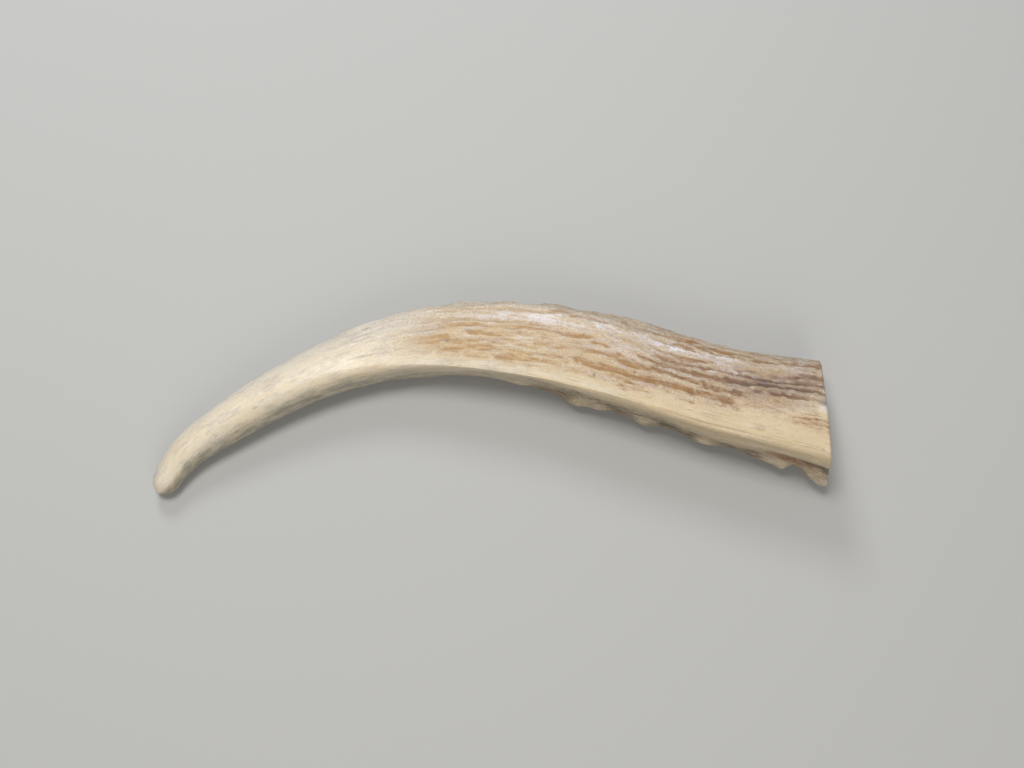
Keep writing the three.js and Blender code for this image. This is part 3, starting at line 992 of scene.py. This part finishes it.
GRAIN_RELIEF = {"Distance": 0.28 * MM, "Strength": 0.8}
BONE_BODY = {
    "IOR": 1.5,
    "Subsurface Weight": 0.08,
    "Subsurface Radius": (1.0, 0.6, 0.35),
    "Subsurface Scale": 0.8 * MM,
}


class Palette:
    """Puts shader nodes into one material and hands back their outputs."""

    def __init__(self, material):
        material.use_nodes = True
        self.tree = material.node_tree
        self.tree.nodes.clear()

    def node(self, kind, inputs=None, **settings):
        """A node with its settings, and with values or links at its inputs."""
        made = self.tree.nodes.new(kind)
        for key, value in settings.items():
            setattr(made, key, value)
        for key, value in (inputs or {}).items():
            self.feed(made.inputs[key], value)
        return made

    def feed(self, socket, value):
        """Links an output to a socket, or sets the socket's own value."""
        if isinstance(value, bpy.types.NodeSocket):
            self.tree.links.new(value, socket)
        else:
            socket.default_value = (*value, 1) if socket.type == "RGBA" else value

    def field(self, name):
        """A point field of the mesh."""
        return self.node("ShaderNodeAttribute", attribute_name=name).outputs["Fac"]

    def grain(self, scale):
        """Place on the straightened tine in millimetres, scaled by axis."""
        at = self.node("ShaderNodeAttribute", attribute_name="grain").outputs["Vector"]
        return self.node("ShaderNodeMapping", {"Vector": at, "Scale": scale}).outputs["Vector"]

    def noise(self, scale, detail=3.0, roughness=0.55, distortion=0.0):
        """Noise over the grain of the bone, from 0 to 1."""
        settings = {
            "Vector": self.grain(scale),
            "Scale": 1.0,
            "Detail": detail,
            "Roughness": roughness,
            "Distortion": distortion,
        }
        return self.node("ShaderNodeTexNoise", settings).outputs["Fac"]

    def ramp(self, value, low, high, start=0.0, end=1.0):
        """A soft rise from `start` to `end` while a value goes from `low` to `high`."""
        settings = {"Value": value, "From Min": low, "From Max": high, "To Min": start, "To Max": end}
        return self.node("ShaderNodeMapRange", settings, interpolation_type="SMOOTHSTEP").outputs["Result"]

    def math(self, operation, a, b=0.0):
        made = self.node("ShaderNodeMath", operation=operation)
        for socket, value in zip(made.inputs, (a, b)):
            self.feed(socket, value)
        return made.outputs[0]

    def times(self, a, b):
        return self.math("MULTIPLY", a, b)

    def plus(self, first, *others):
        for other in others:
            first = self.math("ADD", first, other)
        return first

    def swing(self, value, middle, share):
        """How far a value lies from its middle, times a share."""
        return self.times(self.math("SUBTRACT", value, middle), share)

    def paint(self, under, over, share):
        """The colour `over` laid on `under` by `share`, which is kept from 0 to 1."""
        made = self.node("ShaderNodeMix", data_type="RGBA", clamp_factor=True)
        sockets = {s.identifier: s for s in made.inputs}
        for key, value in (("Factor_Float", share), ("A_Color", under), ("B_Color", over)):
            self.feed(sockets[key], value)
        return next(s for s in made.outputs if s.identifier == "Result_Color")

    def layered(self, tone, *layers):
        """Lays colours on a tone one after another, each by its share."""
        for over, share in layers:
            tone = self.paint(tone, over, share)
        return tone

    def hairlines(self, grain, level, width):
        """Thin dark lines along the grain: the places where a stretched noise crosses a level."""
        away = self.math("ABSOLUTE", self.math("SUBTRACT", self.noise(*grain), level))
        return self.ramp(away, 0.0, width, 1.0, 0.0)


def bare_bone(p, c, g):
    """Ivory point, cool outer side (partly painted shade) and cream band, with what is drawn along them by
    the grain, and the painted highlight of the line and its sheen.
    """
    band = p.field("band")
    warm = p.plus(g["long"], p.swing(g["fine"], 0.5, 0.5))
    return p.layered(
        p.paint(c.ivory, c.honey, p.ramp(warm, 0.36, 0.7, 0.1, 0.65)),
        # Cool ivory of the outer side, partly painted shade.
        (c.cool_ivory_and_shade, p.times(p.field("cool"), p.ramp(g["mottle"], 0.2, 0.7, 0.9, 0.5))),
        (c.cream, p.times(band, p.ramp(warm, 0.3, 0.7, 0.95, 0.6))),
        (c.tan, p.times(p.ramp(g["drawn"], 0.5, 0.7), 0.28)),
        (c.chalk, p.ramp(g["drawn"], 0.5, 0.34, 0.0, 0.25)),
        # Painted highlight along the line and its sheen.
        (c.painted_highlight, p.times(p.field("line"), 0.42)),
        (c.ash, p.times(p.ramp(g["cloud"], 0.48, 0.62, 0.0, 0.36), p.ramp(band, 0.0, 1.0, 1.0, 0.35))),
        (c.tan, p.ramp(g["speckle"], 0.58, 0.36, 0.0, 0.24)),
    )


def painted_shade_and_olive(p, c, g, tone):
    """Painted grey-green shade of the inner side, and the olive edge, lip and underside, the olive being
    partly painted shade on the lip and underside.
    """
    olive_blotches = p.plus(p.times(g["mottle"], 0.5), p.times(g["fine"], 0.6))
    return p.layered(
        tone,
        # Painted grey-green shade of the inner side.
        (c.painted_shade_grey, p.times(p.field("shade"), p.ramp(g["cloud"], 0.4, 0.6, 0.5, 0.95))),
        # Olive, partly painted shade on the lip and underside.
        (c.olive, p.times(p.field("olive"), p.ramp(olive_blotches, 0.4, 0.7, 0.5, 1.0))),
    )


def stained_face(p, c, g, tone):
    """Tan, gold, ochre, brown and umber stain of the rough face, deepest in its troughs."""
    stain, trough, wash, ochre = (p.field(name) for name in ("stain", "trough", "wash", "ochre"))
    sunk = p.plus(
        p.times(trough, 0.8),
        p.swing(g["speckle"], 0.5, 0.7),
        p.swing(g["streak"], 0.48, 2.8),
        p.swing(g["mottle"], 0.5, 1.6),
        p.times(ochre, 0.65),
    )
    deep = p.times(p.ramp(sunk, 0.0, 0.98), p.ramp(stain, 0.0, 0.5, 0.25, 1.0))
    deep = p.times(deep, p.field("rough"))
    yellow = p.plus(p.ramp(g["patch"], 0.42, 0.62), p.plus(wash, ochre))
    dark = p.plus(p.times(trough, 0.5), p.plus(g["mottle"], p.times(g["speckle"], 0.5)))
    dark = p.times(p.ramp(dark, 0.5, 1.15, 0.2, 1.0), p.field("umber"))
    earth = p.paint(c.tan, c.rose, p.ramp(g["patch"], 0.4, 0.62))
    return p.layered(
        tone,
        (earth, p.times(stain, p.ramp(g["mottle"], 0.3, 0.7, 0.95, 0.45))),
        (c.gold, p.times(wash, p.ramp(g["drawn"], 0.38, 0.6, 0.1, 0.8))),
        (p.paint(c.brown, c.ochre, yellow), p.times(deep, p.ramp(wash, 0.0, 1.0, 0.88, 0.66))),
        (c.umber, p.times(dark, 0.85)),
    )


def rubbed_crests(p, c, g, tone):
    """Pale rubbed crests of the rough face, its bluish grey patches, the chip and the chalky patches."""
    patch = g["patch"]
    rubbed = p.plus(
        p.times(p.field("crest"), 0.8),
        p.swing(g["streak"], 0.47, -3.0),
        p.swing(g["speckle"], 0.45, 1.0),
    )
    pale = p.times(p.ramp(rubbed, 0.2, 1.0), p.times(p.field("rough"), 0.7))
    cold = p.times(p.ramp(g["mottle"], 0.52, 0.64), p.times(p.ramp(patch, 0.48, 0.6), p.field("stain")))
    chalky = p.plus(p.times(g["mottle"], 1.2), p.times(p.field("trough"), -0.5), p.times(g["fine"], 1.4))
    chalky = p.times(p.ramp(chalky, 0.85, 1.4), p.ramp(patch, 0.4, 0.56, 0.25, 1.0))
    return p.layered(
        tone,
        (p.paint(c.ivory, c.chalk, p.ramp(patch, 0.44, 0.6)), pale),
        (c.ash, p.plus(p.times(cold, 0.6), p.times(p.field("chip"), 0.9))),
        (c.chalk, p.times(chalky, p.field("chalk"))),
    )


def hairline_share(p):
    """Fine dark hairlines of the cream band and the polished point."""
    broken = p.ramp(p.noise(*HAIR_BREAKS), 0.55, 0.64)
    on_band = p.plus(p.times(p.field("band"), 0.8), p.swing(p.field("rough"), 1.0, -0.3))
    return p.times(p.times(p.hairlines(HAIR_GRAIN, HAIR_LEVEL, HAIR_WIDTH), broken), on_band)


def dark_marks(p, c, g, tone, hair):
    """Smudges of dirt and painted shade, the rusty hollow, grime in the open grain, hairlines, flecks and
    specks, and the painted shade along the crease over the lip.
    """
    speckle, opened = g["speckle"], p.field("open")
    smudges = p.plus(p.times(g["cloud"], 0.6), p.times(g["mottle"], 0.4))
    flecks = p.times(p.ramp(speckle, 0.66, 0.78, 0.0, 0.6), p.plus(p.times(opened, 0.7), 0.1))
    return p.layered(
        tone,
        # Painted shade and dirt on the inner wall.
        (c.silt_and_shade, p.times(p.ramp(smudges, 0.4, 0.56, 0.0, 0.9), p.field("dirt_and_shade"))),
        (c.rust, p.times(p.field("rust"), p.ramp(g["mottle"], 0.36, 0.6, 0.6, 1.0))),
        (c.umber, p.times(p.ramp(speckle, 0.54, 0.34, 0.0, 0.42), p.plus(p.times(opened, 0.9), 0.1))),
        (c.soot_and_shade, p.times(hair, 0.6)),
        # Also the painted shade along the crease over the lip.
        (c.soot_and_shade, p.plus(flecks, p.times(p.field("speck"), 0.5), p.times(p.field("crease_shade"), 0.5))),
    )


def cut_colour(p, c, tone):
    """Adds the saw cut: compact bone outside, spongy core inside."""
    core = p.field("core")
    ring = p.paint(c.ivory, c.honey, p.ramp(p.noise(*RING_GRAIN), 0.35, 0.7))
    ring = p.paint(ring, c.marrow, p.times(core, 0.75))
    fine_pores = p.times(p.ramp(p.noise(*PORE_GRAIN), 0.42, 0.3), core)
    ring = p.paint(ring, c.soot_and_shade, p.plus(p.times(p.field("pore"), 0.75), p.times(fine_pores, 0.5)))
    return p.paint(tone, ring, p.field("cut"))


def bone_material(c):
    """The bone: its colours, painted shade and highlight among them, laid over one another, its gloss and its
    fine grain.
    """
    material = bpy.data.materials.new("antler_bone")
    p = Palette(material)
    g = {name: p.noise(*grain) for name, grain in GRAINS.items()}
    hair = hairline_share(p)
    tone = bare_bone(p, c, g)
    for lay_on in (painted_shade_and_olive, stained_face, rubbed_crests):
        tone = lay_on(p, c, g, tone)
    tone = cut_colour(p, c, dark_marks(p, c, g, tone, hair))

    rough = p.field("rough")
    gloss = p.plus(
        p.ramp(rough, 0.0, 1.0, *GLOSS),
        p.swing(g["fine"], 0.5, 0.3),
        p.times(p.field("trough"), 0.16),
        p.times(p.field("cut"), 0.2),
    )
    relief = p.plus(
        p.times(g["speckle"], p.ramp(rough, 0.0, 1.0, 0.12, 1.0)),
        p.times(g["fine"], p.ramp(rough, 0.0, 1.0, 0.3, 0.9)),
        p.times(hair, -0.5),
    )
    bump = p.node("ShaderNodeBump", {"Height": relief, **GRAIN_RELIEF})
    surface = {"Base Color": tone, "Roughness": gloss, "Normal": bump.outputs["Normal"], **BONE_BODY}
    shader = p.node("ShaderNodeBsdfPrincipled", surface)
    p.node("ShaderNodeOutputMaterial", {"Surface": shader.outputs["BSDF"]})
    return material


# ---- Studio ----

AIM = Vector((0.0058, 0.0044, 0))  # floor point in the middle of the view
FLOOR_REACH = 3.0
FLOOR_ROUGHNESS, FLOOR_SHINE = 0.9, 0.2
SENSOR_WIDTH = 36
CLIP_START = 0.01
# Lights: place, size, tint.
KEY_LIGHT = ((-0.1, 0.17, 0.69), 0.24, (1.0, 0.98, 0.95))
WINDOW_LIGHT = ((-0.14, 0.5, 0.44), 0.2, (0.9, 0.95, 1.0))
FRONT_LIGHT = ((0.08, -0.5, 0.42), 0.5, (1.0, 0.96, 0.9))


def lay_floor(studio):
    """The plain floor that the tine lies on."""
    bpy.ops.mesh.primitive_plane_add(size=2 * FLOOR_REACH, location=(0, 0, 0))
    floor = bpy.context.object
    floor.name = "studio_floor"
    material = bpy.data.materials.new("studio_floor")
    material.use_nodes = True
    shader = material.node_tree.nodes["Principled BSDF"]
    shader.inputs["Base Color"].default_value = (*studio.floor, 1)
    shader.inputs["Roughness"].default_value = FLOOR_ROUGHNESS
    shader.inputs["Specular IOR Level"].default_value = FLOOR_SHINE
    floor.data.materials.append(material)


def hang_light(name, watts, light):
    """A round soft light that points at the middle of the view."""
    place, size, tint = light
    data = bpy.data.lights.new(name, "AREA")
    data.shape = "DISK"
    data.size = size
    data.energy = watts
    data.color = tint
    lamp = bpy.data.objects.new(name, data)
    lamp.location = place
    lamp.rotation_euler = (AIM - lamp.location).to_track_quat("-Z", "Y").to_euler()
    bpy.context.scene.collection.objects.link(lamp)


def hang_lights(studio):
    """Three soft lights and the even light of the room."""
    hang_light("key_light", studio.key_power, KEY_LIGHT)
    hang_light("window_light", studio.window_power, WINDOW_LIGHT)
    hang_light("front_light", studio.front_power, FRONT_LIGHT)
    world = bpy.data.worlds.new("studio_room")
    world.use_nodes = True
    sky = world.node_tree.nodes["Background"]
    sky.inputs["Color"].default_value = (1.0, 1.0, 1.0, 1)
    sky.inputs["Strength"].default_value = studio.ambient
    bpy.context.scene.world = world


def set_camera(studio):
    """The camera, which looks almost straight down."""
    data = bpy.data.cameras.new("studio_camera")
    data.lens = studio.lens
    data.sensor_width = SENSOR_WIDTH
    data.clip_start = CLIP_START
    data.dof.use_dof = False
    camera = bpy.data.objects.new("studio_camera", data)
    back = Vector((0, -math.cos(studio.elevation), math.sin(studio.elevation)))
    camera.location = AIM + back * studio.distance
    camera.rotation_euler = (-back).to_track_quat("-Z", "Y").to_euler()
    bpy.context.scene.collection.objects.link(camera)
    bpy.context.scene.camera = camera
    bpy.context.scene.view_settings.view_transform = "Standard"


# ---- Operators ----


class ANTLER_OT_grow_tine(bpy.types.Operator):
    """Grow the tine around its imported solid, as one mesh"""

    bl_idname = "antler.grow_tine"
    bl_label = "Grow Tine"

    def execute(self, context):
        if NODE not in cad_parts:
            raise RuntimeError(f"the frame has no node named {NODE}")
        mesh = grow(context.scene.antler_shape)
        piece = bpy.data.objects.new(NODE + "_grown", mesh)
        context.scene.collection.objects.link(piece)
        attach(piece, "root")
        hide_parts(NODE)
        return {"FINISHED"}


class ANTLER_OT_finish_bone(bpy.types.Operator):
    """Give the tine its bone material, with its stains and its painted shade and highlight"""

    bl_idname = "antler.finish_bone"
    bl_label = "Finish Bone"

    def execute(self, context):
        piece = bpy.data.objects.get(NODE + "_grown")
        if piece is None:
            raise RuntimeError("grow the tine before its finish")
        piece.data.materials.clear()
        piece.data.materials.append(bone_material(context.scene.antler_colours))
        return {"FINISHED"}


class ANTLER_OT_lay_studio(bpy.types.Operator):
    """Lay the floor, hang the lights and set the camera"""

    bl_idname = "antler.lay_studio"
    bl_label = "Lay Studio"

    def execute(self, context):
        studio = context.scene.antler_studio
        lay_floor(studio)
        hang_lights(studio)
        set_camera(studio)
        return {"FINISHED"}


# ---- Panel and registration ----


class ANTLER_PT_bench(bpy.types.Panel):
    """Settings and steps of the antler tine"""

    bl_label = "Antler Tine"
    bl_idname = "ANTLER_PT_bench"
    bl_space_type = "VIEW_3D"
    bl_region_type = "UI"
    bl_category = "Antler"

    def draw(self, context):
        scene = context.scene
        steps = (
            (scene.antler_shape, "antler.grow_tine"),
            (scene.antler_colours, "antler.finish_bone"),
            (scene.antler_studio, "antler.lay_studio"),
        )
        for settings, operator in steps:
            box = self.layout.box()
            for key in settings.bl_rna.properties.keys():
                if key not in ("rna_type", "name"):
                    box.prop(settings, key)
            box.operator(operator)


CLASSES = (
    AntlerShape,
    AntlerColours,
    AntlerStudio,
    ANTLER_OT_grow_tine,
    ANTLER_OT_finish_bone,
    ANTLER_OT_lay_studio,
    ANTLER_PT_bench,
)


def register():
    for cls in CLASSES:
        bpy.utils.register_class(cls)
    bpy.types.Scene.antler_shape = PointerProperty(type=AntlerShape)
    bpy.types.Scene.antler_colours = PointerProperty(type=AntlerColours)
    bpy.types.Scene.antler_studio = PointerProperty(type=AntlerStudio)


def unregister():
    del bpy.types.Scene.antler_studio
    del bpy.types.Scene.antler_colours
    del bpy.types.Scene.antler_shape
    for cls in reversed(CLASSES):
        bpy.utils.unregister_class(cls)


def main():
    register()
    bpy.ops.antler.grow_tine()
    bpy.ops.antler.finish_bone()
    bpy.ops.antler.lay_studio()


if __name__ == "__main__":
    main()
